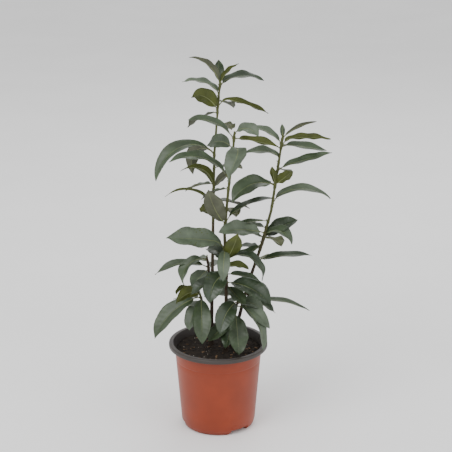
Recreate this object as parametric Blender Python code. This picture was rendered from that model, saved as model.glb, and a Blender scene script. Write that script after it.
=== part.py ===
"""Potted cherry laurel, 0.63 m tall: three leafy stems in a thin plastic nursery pot.

Frame: origin at the middle of the pot's underside, X to the right, Y away from the viewer, Z up.
Sizes in the tables are in centimetres and degrees, and are turned into metres by CM.
"""
import math
import random
from typing import NamedTuple

import bpy
from mathutils import Vector

CM = 0.01
GAP = 0.03  # clear space between pieces that would touch, in centimetres

# Pot, in centimetres
RIM_RADIUS = 8.5
RIM_TOP = 15.1
LIP_DROP = 0.75
LIP_INNER_RADIUS = 7.72
LIP_ROUND = 0.25
BODY_TOP_RADIUS = 7.5
BODY_LOW_RADIUS = 6.4
BODY_LOW_Z = 1.0
FOOT_RADIUS = 5.85
FOOT_BEVEL = 0.3
STEP_Z = 12.2
STEP_DEPTH = 0.09
WALL = 0.14
FLOOR_Z = 1.25
PAD_RADIUS = 2.8
CHANNEL_HEIGHT = 0.9
CHANNEL_SLANT = 0.4
FOOT_WIDTH = 0.5
POT_SIDES = 64
POT_COLOUR = (0.25, 0.035, 0.008)

# Notches through the foot ring: their directions, and their outline as shares of width and height
NOTCH_TURNS = (307.0, 187.0, 67.0)
NOTCH_WIDTH = 3.5
NOTCH_HEIGHT = 0.8
NOTCH_ARCH = ((-0.5, -0.3), (0.5, -0.3), (0.44, 0.6), (0.32, 1.0), (-0.32, 1.0), (-0.44, 0.6))
NOTCH_OVERRUN = 0.8

# Soil, in centimetres
SOIL_TOP = 14.0
SOIL_SIDES = 48
SOIL_COLOUR = (0.012, 0.009, 0.007)

# Stems: middle line from the soil up, and the half thickness along it, in centimetres
LEFT_LINE = (
    (-1.2, 1.4, 14.0), (-1.0, 1.6, 25.7), (-0.8, 1.9, 37.7),
    (-0.6, 2.4, 47.7), (0.1, 3.0, 56.7), (0.4, 3.0, 59.9),
)
CENTRE_LINE = (
    (1.3, -1.6, 14.0), (1.4, -2.0, 26.7), (1.1, -2.4, 35.7),
    (1.7, -2.7, 42.7), (2.5, -3.0, 49.7), (2.7, -3.0, 52.7),
)
RIGHT_LINE = (
    (2.3, 1.0, 14.0), (5.2, 0.5, 25.7), (7.4, 0.2, 32.7),
    (8.9, 0.0, 38.7), (10.0, 0.0, 46.7), (10.7, 0.0, 51.7),
)
LEFT_LOW_LINE = ((-1.52, 1.6, 26.4), (-1.7, 1.5, 28.5), (-1.9, 1.3, 30.2))
LEFT_SKIRT_LINE = ((-1.63, 1.26, 18.5), (-2.5, 0.5, 21.0), (-3.0, 0.0, 23.5))
CENTRE_SKIRT_LINE = ((1.81, -2.02, 18.0), (2.7, -2.4, 21.0), (3.4, -2.6, 23.6))
RIGHT_SKIRT_LINE = ((4.69, 0.54, 21.5), (5.0, 0.9, 22.5), (5.3, 1.0, 23.5))
STEM_LOW_RADIUS = 0.33
STEM_TOP_RADIUS = 0.15
STEM_HEIGHT = 46.0
SHOOT_LOW_RADIUS = 0.21
SHOOT_TOP_RADIUS = 0.16
FLARE = 1.7
FLARE_HEIGHT = 1.2
STEM_SIDES = 8
STEM_STEP = 3.0
BARK_COLOUR = (0.05, 0.035, 0.02)

# Leaves: stalk, outline as shares of the length and the half width, thickness and fold
PETIOLE_SHARE = 0.11
PETIOLE_RADIUS = 0.11
LEAF_STATIONS = (0.20, 0.34, 0.50, 0.66, 0.81, 0.93)
LEAF_OUTLINE = (0.52, 0.88, 1.00, 0.92, 0.64, 0.28)
THICKNESS_SHARE = 0.012
LEAF_FOLD = 24.0
CURVE_STEPS = 40
KNEE_FROM, KNEE_TO = 0.08, 0.28  # where a leaf bends quickly as its stalk becomes blade
CURL_FROM = 0.7
LEAF_COLOUR = (0.03, 0.06, 0.02)

# Leaves on the side away from the viewer, drawn by a seeded rule
AWAY_TURN = 90.0
AWAY_SPREAD = (12.0, 62.0)
AWAY_LENGTH = (6.0, 9.0)
AWAY_WIDTH_SHARE = (0.33, 0.40)
AWAY_RISE = (-8.0, 6.0)
AWAY_DROOP = (22.0, 46.0)
AWAY_ROLL = 12.0
DRAWS = 14
MARKS_FROM = 4  # first of the steps along a leaf that is tested
LEAF_CLEARANCE = 0.65
LIMB_CLEARANCE = 0.6
POT_CLEARANCE = 0.8


class Leaf(NamedTuple):
    """One leaf: where it leaves its stem, which way it points and how it bends."""
    height: float        # of its foot on the stem, centimetres above the ground
    turn: float          # direction seen from above, 0 right, 90 away, 180 left, 270 to the viewer
    length: float
    width: float
    rise: float          # slope at the foot
    droop: float         # how far the slope falls from foot to tip
    roll: float = 0.0    # tilt about its own length
    sway: float = 0.0    # how far it swings sideways from foot to tip
    knee: float = 0.0    # quick fall where the blade begins
    curl: float = 0.0    # upward curl of the last part


class Mass(NamedTuple):
    """A mass of foliage: a length of stem, the leaves that show on it, and how many hide behind."""
    name: str
    line: tuple
    low: float
    high: float
    leaves: tuple
    away: int = 0
    away_low: float = 0.0
    away_high: float = 0.0


LEFT_TOP = (
    Leaf(59.2, 205, 8.3, 2.2, 84, 84, 20),
    Leaf(59.6, 100, 4.0, 1.9, 60, -20),
    Leaf(59.4, 335, 5.3, 1.5, 76, 58, -20),
    Leaf(58.9, 15, 8.6, 2.8, 60, 78, 15, 0, 20),
    Leaf(57.3, 165, 7.7, 2.2, 83, 78, -10, 0, 30),
    Leaf(55.0, 215, 6.8, 3.2, 67, 68, 60, 0, 0, -40),
    Leaf(55.8, 350, 9.3, 2.2, 51, 32, -40, 0, 50),
)
LEFT_MIDDLE = (
    Leaf(47.8, 205, 14.5, 3.4, 51, 142, -15),
    Leaf(47.6, 130, 10.2, 2.8, 37, 156, 40),
    Leaf(41.6, 215, 9.5, 2.0, 91, 118, 40),
    Leaf(41.8, 45, 4.8, 2.4, 59, 72, -75),
    Leaf(38.0, 195, 10.7, 1.6, 78, 118, 30),
    Leaf(37.5, 235, 3.9, 3.0, 39, -4, 40),
)
CENTRE_TOP = (
    Leaf(51.6, 200, 9.4, 2.4, 64, 76, -25),
    Leaf(50.1, 122, 8.7, 2.8, 20, 60, -60),
    Leaf(52.4, 330, 5.7, 2.6, 68, 134, 30),
    Leaf(51.8, 345, 8.0, 2.6, 8, 32, -45),
    Leaf(50.1, 302, 9.2, 3.8, 30, 128, 0, -110),
)
CENTRE_MIDDLE = (
    Leaf(44.4, 200, 12.8, 2.6, 72, 100, -25),
    Leaf(37.1, 235, 8.6, 3.6, 45, -22, 35),
    Leaf(37.1, 25, 11.3, 2.4, 62, 58, 0, 0, 20),
)
CENTRE_LOW = (
    Leaf(30.7, 300, 7.1, 3.0, 46, -18, -35),
    Leaf(30.1, 340, 10.4, 2.6, 64, 172, 5),
    Leaf(32.6, 266, 6.8, 2.4, 4, 92, -5),
    Leaf(29.4, 350, 4.2, 2.6, 34, 74, -50),
    Leaf(28.1, 15, 6.9, 2.4, 2, 44, 15),
    Leaf(32.3, 200, 11.5, 4.4, 62, 22, -40, 0, 40),
    Leaf(27.6, 243, 8.1, 4.1, 39, 130, -30),
    Leaf(26.5, 327, 9.7, 4.2, 21, 70, 20),
    Leaf(30.0, 135, 5.7, 3.2, 70, 108, -15),
    Leaf(28.0, 198, 7.2, 3.0, 1, 54, -10),
    Leaf(26.2, 318, 5.0, 3.0, -24, 10, 10),
)
RIGHT_TOP = (
    Leaf(51.1, 100, 2.4, 0.95, 96, 40),
    Leaf(51.1, 350, 6.5, 1.2, 50, 44, -45),
    Leaf(49.8, 345, 8.9, 2.2, 55, 30, -45, 0, 35),
    Leaf(49.6, 10, 8.0, 2.6, 18, 18, 20, 0, 20),
    Leaf(50.1, 175, 5.9, 2.4, 62, 66, -15),
)
RIGHT_MIDDLE = (
    Leaf(47.0, 190, 7.2, 2.4, 92, 66, -20, 0, 50),
    Leaf(45.5, 355, 9.7, 2.4, 41, 8, 20, 0, 20),
    Leaf(43.1, 320, 4.8, 2.2, 46, 12, -50),
    Leaf(43.1, 240, 3.7, 1.6, 77, 12),
    Leaf(39.6, 10, 11.8, 2.4, 65, 92, 20, 0, 20),
    Leaf(42.9, 205, 9.4, 3.7, 39, 106, -30),
)
RIGHT_LOW = (
    Leaf(33.6, 15, 6.9, 3.6, 46, 42, 25),
    Leaf(34.0, 345, 6.8, 3.0, 66, 158, 15),
    Leaf(36.8, 182, 7.0, 2.0, 9, 40, -5),
    Leaf(34.6, 213, 9.6, 3.6, 30, 38, -35),
    Leaf(32.9, 200, 5.2, 2.1, -38, -50, -10),
    Leaf(29.6, 10, 9.8, 2.4, 18, 32, 10),
    Leaf(33.8, 200, 2.1, 0.8, 41, 30, -30),
)
LEFT_LOW = (
    Leaf(29.4, 200, 7.9, 2.8, 31, 152, -15),
    Leaf(28.0, 180, 9.9, 2.4, 29, 76, -15),
    Leaf(27.6, 238, 5.6, 3.0, 4, 40, -15),
)
LEFT_SKIRT = (
    Leaf(23.2, 200, 11.4, 3.8, -2, 74, -25),
    Leaf(23.2, 214, 6.0, 2.8, 58, 124, 80),
    Leaf(23.2, 273, 9.4, 3.5, -5, 88),
    Leaf(21.7, 240, 6.7, 3.0, 24, 122, 5),
    Leaf(22.8, 162, 6.6, 2.8, 84, 166, 20),
)
CENTRE_SKIRT = (
    Leaf(23.4, 240, 7.8, 3.6, 10, 88, -30),
    Leaf(21.7, 281, 7.8, 3.8, -38, 50, -5),
    Leaf(23.4, 325, 7.4, 2.8, -10, 36, 25),
    Leaf(22.5, 316, 11.3, 2.6, 18, 136, -10),
    Leaf(19.6, 255, 5.2, 2.6, -35, 10, 15),
    Leaf(18.8, 215, 5.0, 2.8, 3, 50, -25),
    Leaf(22.8, 350, 5.2, 3.0, 40, 100, 20),
)
RIGHT_SKIRT = (
    Leaf(22.0, 5, 11.5, 2.2, 14, 50, 5),
    Leaf(21.7, 335, 6.0, 2.4, 32, 82),
)

WOOD = (
    ("stem_left", LEFT_LINE, 36.0),
    ("stem_centre", CENTRE_LINE, 25.5),
    ("stem_right", RIGHT_LINE, 28.5),
)
MASSES = (
    Mass("foliage_left_middle", LEFT_LINE, 36.0 + GAP, 50.5, LEFT_MIDDLE, 4, 38.5, 49.5),
    Mass("foliage_left_top", LEFT_LINE, 50.5 + GAP, 59.9, LEFT_TOP, 3, 52.0, 57.5),
    Mass("foliage_centre_low", CENTRE_LINE, 25.5 + GAP, 34.5, CENTRE_LOW, 3, 27.0, 33.0),
    Mass("foliage_centre_middle", CENTRE_LINE, 34.5 + GAP, 47.0, CENTRE_MIDDLE, 2, 38.0, 45.0),
    Mass("foliage_centre_top", CENTRE_LINE, 47.0 + GAP, 52.7, CENTRE_TOP, 1, 48.0, 50.5),
    Mass("foliage_right_low", RIGHT_LINE, 28.5 + GAP, 38.2, RIGHT_LOW, 4, 29.0, 36.5),
    Mass("foliage_right_middle", RIGHT_LINE, 38.2 + GAP, 48.3, RIGHT_MIDDLE, 3, 39.5, 47.0),
    Mass("foliage_right_top", RIGHT_LINE, 48.3 + GAP, 51.6, RIGHT_TOP, 1, 49.0, 50.5),
    Mass("foliage_left_low", LEFT_LOW_LINE, 26.4, 30.0, LEFT_LOW, 2, 27.2, 29.8),
    Mass("foliage_left_skirt", LEFT_SKIRT_LINE, 18.5, 23.5, LEFT_SKIRT, 4, 19.2, 23.4),
    Mass("foliage_centre_skirt", CENTRE_SKIRT_LINE, 18.0, 23.6, CENTRE_SKIRT),
    Mass("foliage_right_skirt", RIGHT_SKIRT_LINE, 21.5, 23.5, RIGHT_SKIRT, 4, 21.7, 23.4),
)


def clear_scene():
    for thing in list(bpy.data.objects):
        bpy.data.objects.remove(thing, do_unlink=True)


def plain_material(name, colour, roughness):
    """A Principled material of one colour."""
    made = bpy.data.materials.new(name)
    made.use_nodes = True
    shader = made.node_tree.nodes["Principled BSDF"]
    shader.inputs["Base Color"].default_value = (*colour, 1.0)
    shader.inputs["Roughness"].default_value = roughness
    return made


def mesh_object(name, points, faces, collection=None):
    """An object from points in centimetres and faces that look outwards."""
    mesh = bpy.data.meshes.new(name)
    mesh.from_pydata([tuple(value * CM for value in point) for point in points], [], faces)
    mesh.update()
    made = bpy.data.objects.new(name, mesh)
    (collection or bpy.context.scene.collection).objects.link(made)
    return made


def new_collection(name):
    made = bpy.data.collections.new(name)
    bpy.context.scene.collection.children.link(made)
    return made


def finish(thing, material, smooth=True):
    """Gives a node its material, and shades it."""
    thing.data.materials.clear()
    thing.data.materials.append(material)
    for face in thing.data.polygons:
        face.use_smooth = smooth
        face.material_index = 0


def apply_boolean(thing, operation, collection):
    """Joins a collection's objects to a thing, or cuts them from it, and removes them."""
    change = thing.modifiers.new(collection.name, "BOOLEAN")
    change.operation = operation
    change.operand_type = "COLLECTION"
    change.collection = collection
    change.solver = "EXACT"
    bpy.context.view_layer.update()
    evaluated = thing.evaluated_get(bpy.context.evaluated_depsgraph_get())
    changed = bpy.data.meshes.new_from_object(evaluated)
    thing.modifiers.clear()
    thing.data = changed
    for used in list(collection.objects):
        bpy.data.objects.remove(used, do_unlink=True)
    bpy.data.collections.remove(collection)


def along(line, height):
    """The point of a rising line at a height."""
    low, high = line[0], line[1]
    for first, second in zip(line, line[1:]):
        low, high = first, second
        if height <= second[2]:
            break
    share = (height - low[2]) / (high[2] - low[2])
    return Vector(low).lerp(Vector(high), share)


def bands(rings, sides):
    """Quads between rings of points that follow each other."""
    faces = []
    for ring in range(rings - 1):
        for side in range(sides):
            after = (side + 1) % sides
            low = ring * sides
            high = low + sides
            faces.append((low + side, low + after, high + after, high + side))
    return faces


def circle(middle, radius, sides):
    """Points of a level ring about a middle point."""
    turns = [2 * math.pi * side / sides for side in range(sides)]
    return [
        (middle[0] + radius * math.cos(turn), middle[1] + radius * math.sin(turn), middle[2])
        for turn in turns
    ]


def stem_radius(height):
    """Half thickness of a main stem at a height."""
    share = (height - SOIL_TOP) / STEM_HEIGHT
    return STEM_LOW_RADIUS + (STEM_TOP_RADIUS - STEM_LOW_RADIUS) * share


def flared_radius(height):
    """As stem_radius, with a flare at the soil."""
    near = max(0.0, 1 - (height - SOIL_TOP) / FLARE_HEIGHT)
    return stem_radius(height) * (1 + (FLARE - 1) * near * near)


def shoot_radius(line):
    """How a low side shoot tapers along its own line."""
    low, high = line[0][2], line[-1][2]

    def radius(height):
        share = (height - low) / (high - low)
        return SHOOT_LOW_RADIUS + (SHOOT_TOP_RADIUS - SHOOT_LOW_RADIUS) * share

    return radius


def stem_mesh(name, line, low, high, radius_at):
    """A tapering stem along a line between two heights, cut flat at both ends."""
    steps = max(2, round((high - low) / STEM_STEP) + 1)
    heights = [low + (high - low) * step / (steps - 1) for step in range(steps)]
    if low < SOIL_TOP + FLARE_HEIGHT:
        heights[1:1] = [low + FLARE_HEIGHT * 0.4, low + FLARE_HEIGHT]
    points = []
    for height in heights:
        points += circle(along(line, height), radius_at(height), STEM_SIDES)
    faces = bands(len(heights), STEM_SIDES)
    last = len(points) - STEM_SIDES
    faces.append(tuple(reversed(range(STEM_SIDES))))
    faces.append(tuple(range(last, last + STEM_SIDES)))
    return mesh_object(name, points, faces)


def eased(share):
    """Rises smoothly from 0 to 1."""
    share = min(1.0, max(0.0, share))
    return share * share * (3 - 2 * share)


def leaf_frames(leaf, foot):
    """Point, direction, side and upper side at equal steps along the middle of a leaf."""
    spot = foot.copy()
    frames = []
    for count in range(CURVE_STEPS + 1):
        share = count / CURVE_STEPS
        bend = leaf.knee * eased((share - KNEE_FROM) / (KNEE_TO - KNEE_FROM))
        curl = leaf.curl * max(0.0, share - CURL_FROM) / (1 - CURL_FROM)
        slope = math.radians(leaf.rise - leaf.droop * share - bend + curl)
        heading = math.radians(leaf.turn + leaf.sway * share)
        ahead = Vector((
            math.cos(slope) * math.cos(heading),
            math.cos(slope) * math.sin(heading),
            math.sin(slope),
        ))
        level = Vector((-math.sin(heading), math.cos(heading), 0.0))
        roll = math.radians(leaf.roll)
        side = level * math.cos(roll) + ahead.cross(level) * math.sin(roll)
        frames.append((spot.copy(), ahead, side, ahead.cross(side)))
        spot = spot + ahead * (leaf.length / CURVE_STEPS)
    return frames


def leaf_mesh(leaf, foot, collection):
    """A stalk and a folded blade with a ridge above and below, closed all round."""
    frames = leaf_frames(leaf, foot)
    half_thick = leaf.length * THICKNESS_SHARE / 2
    points = []

    def ring(share, half_width, half_height, fold):
        spot, _, side, above = frames[round(share * CURVE_STEPS)]
        out = side * (half_width * math.cos(fold))
        lift = above * (half_width * math.sin(fold) / 2)
        points.append(spot + out + lift)
        points.append(spot - lift + above * half_height)
        points.append(spot - out + lift)
        points.append(spot - lift - above * half_height)

    ring(0.0, PETIOLE_RADIUS, PETIOLE_RADIUS, 0.0)
    ring(PETIOLE_SHARE, PETIOLE_RADIUS, PETIOLE_RADIUS, 0.0)
    for share, outline in zip(LEAF_STATIONS, LEAF_OUTLINE):
        ring(share, leaf.width / 2 * outline, half_thick, math.radians(LEAF_FOLD))
    faces = [tuple(reversed(face)) for face in bands(len(LEAF_STATIONS) + 2, 4)]
    points.append(frames[-1][0])
    tip = len(points) - 1
    for side in range(4):
        faces.append((tip - 4 + (side + 1) % 4, tip - 4 + side, tip))
    faces.append((0, 1, 2, 3))
    return mesh_object("leaf", points, faces, collection)


def leaf_marks(leaf, foot):
    """Points on the middle and both edges of a blade, to tell what it comes near."""
    frames = leaf_frames(leaf, foot)
    marks = [frame[0] for frame in frames[MARKS_FROM::2]]
    for share, outline in zip(LEAF_STATIONS, LEAF_OUTLINE):
        spot, _, side, _ = frames[round(share * CURVE_STEPS)]
        reach = side * (leaf.width / 2 * outline)
        marks += [spot + reach, spot - reach, spot + reach / 2, spot - reach / 2]
    return marks


def is_free(marks, line, taken):
    """Whether a leaf keeps clear of the other limbs, of the pot and of the leaves so far."""
    for mark in marks:
        if mark.z < RIM_TOP + POT_CLEARANCE:
            return False
        for other in (LEFT_LINE, CENTRE_LINE, RIGHT_LINE):
            if other is not line and other[0][2] < mark.z < other[-1][2]:
                if (along(other, mark.z) - mark).length < LIMB_CLEARANCE:
                    return False
        if any((mark - near).length < LEAF_CLEARANCE for near in taken):
            return False
    return True


def away_leaves(mass, chance, taken):
    """Leaves on the side away from the viewer; a draw that would touch something is skipped."""
    grown = []
    for count in range(mass.away):
        share = (count + 0.5) / mass.away
        height = mass.away_low + (mass.away_high - mass.away_low) * share
        for _ in range(DRAWS):
            swing = chance.uniform(*AWAY_SPREAD) * (1 if count % 2 else -1)
            length = chance.uniform(*AWAY_LENGTH)
            leaf = Leaf(
                height, AWAY_TURN + swing, length, length * chance.uniform(*AWAY_WIDTH_SHARE),
                chance.uniform(*AWAY_RISE), chance.uniform(*AWAY_DROOP),
                chance.uniform(-AWAY_ROLL, AWAY_ROLL),
            )
            marks = leaf_marks(leaf, along(mass.line, height))
            if is_free(marks, mass.line, taken):
                grown.append(leaf)
                taken += marks
                break
    return grown


def keep_largest(thing):
    """Drops every loose shell but the largest one."""
    mesh = thing.data
    parent = list(range(len(mesh.vertices)))

    def root(index):
        while parent[index] != index:
            parent[index] = parent[parent[index]]
            index = parent[index]
        return index

    for edge in mesh.edges:
        first, second = root(edge.vertices[0]), root(edge.vertices[1])
        if first != second:
            parent[first] = second
    sizes = {}
    for face in mesh.polygons:
        shell = root(face.vertices[0])
        sizes[shell] = sizes.get(shell, 0.0) + face.area
    if len(sizes) < 2:
        return
    kept = max(sizes, key=sizes.get)
    points = []
    places = {}
    faces = []
    for face in mesh.polygons:
        if root(face.vertices[0]) != kept:
            continue
        for index in face.vertices:
            if index not in places:
                places[index] = len(points)
                points.append(mesh.vertices[index].co.copy())
        faces.append([places[index] for index in face.vertices])
    fresh = bpy.data.meshes.new(mesh.name)
    fresh.from_pydata(points, [], faces)
    thing.data = fresh


def foliage(mass, leaves):
    """A mass of foliage: a length of stem with its leaves fused on."""
    side_shoot = mass.line not in (LEFT_LINE, CENTRE_LINE, RIGHT_LINE)
    radius_at = shoot_radius(mass.line) if side_shoot else stem_radius
    thing = stem_mesh(mass.name, mass.line, mass.low, mass.high, radius_at)
    collection = new_collection(mass.name)
    for leaf in leaves:
        leaf_mesh(leaf, along(mass.line, leaf.height), collection)
    apply_boolean(thing, "UNION", collection)
    keep_largest(thing)
    finish(thing, plain_material(mass.name + " leaf", LEAF_COLOUR, 0.5))


def all_foliage():
    taken = []
    for mass in MASSES:
        for leaf in mass.leaves:
            taken += leaf_marks(leaf, along(mass.line, leaf.height))
    for seed, mass in enumerate(MASSES):
        grown = away_leaves(mass, random.Random(seed), taken)
        foliage(mass, list(mass.leaves) + grown)


def turned_profile(name, profile, sides):
    """A solid of revolution from an outline of (radius, height) that starts and ends on the axis."""
    points = []
    for radius, height in profile[1:-1]:
        points += circle((0.0, 0.0, height), radius, sides)
    points += [(0.0, 0.0, profile[0][1]), (0.0, 0.0, profile[-1][1])]
    rings = len(profile) - 2
    faces = bands(rings, sides)
    last = (rings - 1) * sides
    for side in range(sides):
        after = (side + 1) % sides
        faces.append((rings * sides, after, side))
        faces.append((last + side, last + after, rings * sides + 1))
    return mesh_object(name, points, faces)


def body_radius(height):
    """Outside of the pot's wall."""
    share = (height - BODY_LOW_Z) / (RIM_TOP - LIP_DROP - BODY_LOW_Z)
    return BODY_LOW_RADIUS + (BODY_TOP_RADIUS - BODY_LOW_RADIUS) * share


def inside_radius(height):
    """Inside of the pot's wall."""
    return body_radius(height) - WALL - STEP_DEPTH


def pot():
    """Thin pot: flat pad and foot ring below, tapering wall, a step, and a rolled lip."""
    lip_low = RIM_TOP - LIP_DROP
    profile = [
        (0.0, 0.0),
        (PAD_RADIUS, 0.0),
        (PAD_RADIUS + CHANNEL_SLANT, CHANNEL_HEIGHT),
        (FOOT_RADIUS - FOOT_WIDTH - CHANNEL_SLANT, CHANNEL_HEIGHT),
        (FOOT_RADIUS - FOOT_WIDTH, 0.0),
        (FOOT_RADIUS, 0.0),
        (FOOT_RADIUS + FOOT_BEVEL, FOOT_BEVEL),
        (BODY_LOW_RADIUS, BODY_LOW_Z),
        (body_radius(STEP_Z) - STEP_DEPTH, STEP_Z - 2 * STEP_DEPTH),
        (body_radius(STEP_Z), STEP_Z),
        (BODY_TOP_RADIUS, lip_low),
        (RIM_RADIUS - LIP_ROUND / 2, lip_low),
        (RIM_RADIUS, lip_low + LIP_ROUND / 2),
        (RIM_RADIUS, RIM_TOP - LIP_ROUND),
        (RIM_RADIUS - LIP_ROUND, RIM_TOP),
        (LIP_INNER_RADIUS, RIM_TOP),
        (LIP_INNER_RADIUS - LIP_ROUND / 2, RIM_TOP - LIP_ROUND / 2),
        (inside_radius(lip_low - LIP_ROUND), lip_low - LIP_ROUND),
        (inside_radius(FLOOR_Z), FLOOR_Z),
        (0.0, FLOOR_Z),
    ]
    thing = turned_profile("pot", profile, POT_SIDES)
    notches = new_collection("notches")
    for turn in NOTCH_TURNS:
        notch_cutter(turn, notches)
    apply_boolean(thing, "DIFFERENCE", notches)
    finish(thing, plain_material("pot plastic", POT_COLOUR, 0.45))


def notch_cutter(turn, collection):
    """A low arch that runs through the foot ring in one direction."""
    angle = math.radians(turn)
    ahead = Vector((math.cos(angle), math.sin(angle), 0.0))
    side = Vector((-math.sin(angle), math.cos(angle), 0.0))
    up = Vector((0.0, 0.0, 1.0))
    points = []
    for reach in (FOOT_RADIUS - FOOT_WIDTH - NOTCH_OVERRUN, BODY_LOW_RADIUS + NOTCH_OVERRUN):
        for across, high in NOTCH_ARCH:
            points.append(ahead * reach + side * (across * NOTCH_WIDTH) + up * (high * NOTCH_HEIGHT))
    sides = len(NOTCH_ARCH)
    faces = bands(2, sides)
    faces.append(tuple(reversed(range(sides))))
    faces.append(tuple(range(sides, 2 * sides)))
    cutter = mesh_object("notch", points, faces, collection)
    cutter.hide_render = True
    cutter.display_type = "WIRE"


def soil():
    """Potting soil filling the pot to a little under the rim, clear of its wall and floor."""
    low = FLOOR_Z + GAP
    profile = [
        (0.0, low),
        (inside_radius(low) - GAP, low),
        (inside_radius(SOIL_TOP) - GAP, SOIL_TOP),
        (0.0, SOIL_TOP),
    ]
    thing = turned_profile("soil", profile, SOIL_SIDES)
    finish(thing, plain_material("soil", SOIL_COLOUR, 0.95), smooth=False)


def stems():
    """The woody foot of each stem, from its flat cut on the soil to its lowest leaves."""
    for name, line, top in WOOD:
        thing = stem_mesh(name, line, SOIL_TOP + GAP, top, flared_radius)
        finish(thing, plain_material(name + " bark", BARK_COLOUR, 0.8))


clear_scene()
pot()
soil()
stems()
all_foliage()
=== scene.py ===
"""Looks of the potted cherry laurel: its leaves, shoots, bark, soil and pot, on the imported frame.

Tables and shapes are in centimetres and degrees, and are turned into metres by CM.
X is to the right, Y away from the viewer and Z up, from the middle of the pot's underside.
"""
import math
import random
from typing import NamedTuple

import bpy
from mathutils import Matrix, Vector, noise


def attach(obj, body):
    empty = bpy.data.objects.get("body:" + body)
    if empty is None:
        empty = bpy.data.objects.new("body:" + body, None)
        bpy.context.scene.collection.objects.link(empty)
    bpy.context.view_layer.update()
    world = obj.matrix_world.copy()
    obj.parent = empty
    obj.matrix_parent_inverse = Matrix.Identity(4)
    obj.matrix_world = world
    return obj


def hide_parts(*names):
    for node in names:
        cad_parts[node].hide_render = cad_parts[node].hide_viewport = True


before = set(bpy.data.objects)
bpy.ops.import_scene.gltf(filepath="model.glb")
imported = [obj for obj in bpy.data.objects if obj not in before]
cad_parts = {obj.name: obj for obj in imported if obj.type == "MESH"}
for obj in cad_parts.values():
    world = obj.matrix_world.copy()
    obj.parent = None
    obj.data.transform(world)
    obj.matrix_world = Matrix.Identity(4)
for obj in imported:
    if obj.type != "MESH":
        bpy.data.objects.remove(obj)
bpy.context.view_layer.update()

CM = 0.01

# Pot, in centimetres
RIM_RADIUS = 8.5
RIM_TOP = 15.1
LIP_DROP = 0.75
LIP_INNER_RADIUS = 7.72
BODY_TOP_RADIUS = 7.5
BODY_LOW_RADIUS = 6.4
BODY_LOW_Z = 1.0
FOOT_RADIUS = 5.85
STEP_Z = 12.2
STEP_DEPTH = 0.09
WALL = 0.14
FLOOR_Z = 1.25
PAD_RADIUS = 2.8
CHANNEL_HEIGHT = 0.9
CHANNEL_SLANT = 0.4
FOOT_WIDTH = 0.5
POT_SIDES = 180
NOTCH_TURNS = (307.0, 187.0, 67.0)
NOTCH_HALF_TURN = 17.0
NOTCH_HEIGHT = 0.8

# Soil, in centimetres
SOIL_TOP = 14.0
SOIL_RINGS = 44
SOIL_SIDES = 150
CRUMBS = 900
BARK_BITS = 60
PALE_BITS = 34

# Stems: middle line from the soil up, and the half thickness along it, in centimetres
LEFT_LINE = (
    (-1.2, 1.4, 14.0), (-1.0, 1.6, 25.7), (-0.8, 1.9, 37.7),
    (-0.6, 2.4, 47.7), (0.1, 3.0, 56.7), (0.4, 3.0, 59.9),
)
CENTRE_LINE = (
    (1.3, -1.6, 14.0), (1.4, -2.0, 26.7), (1.1, -2.4, 35.7),
    (1.7, -2.7, 42.7), (2.5, -3.0, 49.7), (2.7, -3.0, 52.7),
)
RIGHT_LINE = (
    (2.3, 1.0, 14.0), (5.2, 0.5, 25.7), (7.4, 0.2, 32.7),
    (8.9, 0.0, 38.7), (10.0, 0.0, 46.7), (10.7, 0.0, 51.7),
)
LEFT_LOW_LINE = ((-1.52, 1.6, 26.4), (-1.7, 1.5, 28.5), (-1.9, 1.3, 30.2))
LEFT_SKIRT_LINE = ((-1.63, 1.26, 18.5), (-2.5, 0.5, 21.0), (-3.0, 0.0, 23.5))
CENTRE_SKIRT_LINE = ((1.81, -2.02, 18.0), (2.7, -2.4, 21.0), (3.4, -2.6, 23.6))
RIGHT_SKIRT_LINE = ((4.69, 0.54, 21.5), (5.0, 0.9, 22.5), (5.3, 1.0, 23.5))
STEM_LOW_RADIUS = 0.33
STEM_TOP_RADIUS = 0.15
STEM_HEIGHT = 46.0
SHOOT_LOW_RADIUS = 0.21
SHOOT_TOP_RADIUS = 0.16
FLARE = 1.7
FLARE_HEIGHT = 1.2
STEM_SIDES = 20
STEM_STEP = 0.16
BARK_RELIEF = 0.028
NODE_SWELL = 0.05

# Leaves
PETIOLE_SHARE = 0.11
PETIOLE_RADIUS = 0.11
LEAF_STATIONS = (0.20, 0.34, 0.50, 0.66, 0.81, 0.93)
LEAF_OUTLINE = (0.52, 0.88, 1.00, 0.92, 0.64, 0.28)
LEAF_FOLD = 24.0
CURVE_STEPS = 40
KNEE_FROM, KNEE_TO = 0.08, 0.28
CURL_FROM = 0.7
BLADE_ROWS = 34
BLADE_COLUMNS = 12
BLADE_THICKNESS = 0.028
TEETH = 22
VEINS = 11

# Leaves on the side away from the viewer, drawn by a seeded rule
AWAY_TURN = 90.0
AWAY_SPREAD = (12.0, 62.0)
AWAY_LENGTH = (6.0, 9.0)
AWAY_WIDTH_SHARE = (0.33, 0.40)
AWAY_RISE = (-8.0, 6.0)
AWAY_DROOP = (22.0, 46.0)
AWAY_ROLL = 12.0
DRAWS = 14
MARKS_FROM = 4
LEAF_CLEARANCE = 0.65
LIMB_CLEARANCE = 0.6
POT_CLEARANCE = 0.8

# Camera, as the photograph was taken
CAMERA_PLACE = (0.0135, -2.1, 1.050)
CAMERA_PITCH = 18.2
CAMERA_LENS = 105.05
SENSOR_WIDTH = 36.0


class Leaf(NamedTuple):
    """One leaf: where it leaves its stem, which way it points and how it bends."""
    height: float
    turn: float
    length: float
    width: float
    rise: float
    droop: float
    roll: float = 0.0
    sway: float = 0.0
    knee: float = 0.0
    curl: float = 0.0


class Mass(NamedTuple):
    """A mass of foliage: a length of stem, the leaves that show on it, and how many hide behind."""
    name: str
    line: tuple
    low: float
    high: float
    leaves: tuple
    away: int = 0
    away_low: float = 0.0
    away_high: float = 0.0


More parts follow.
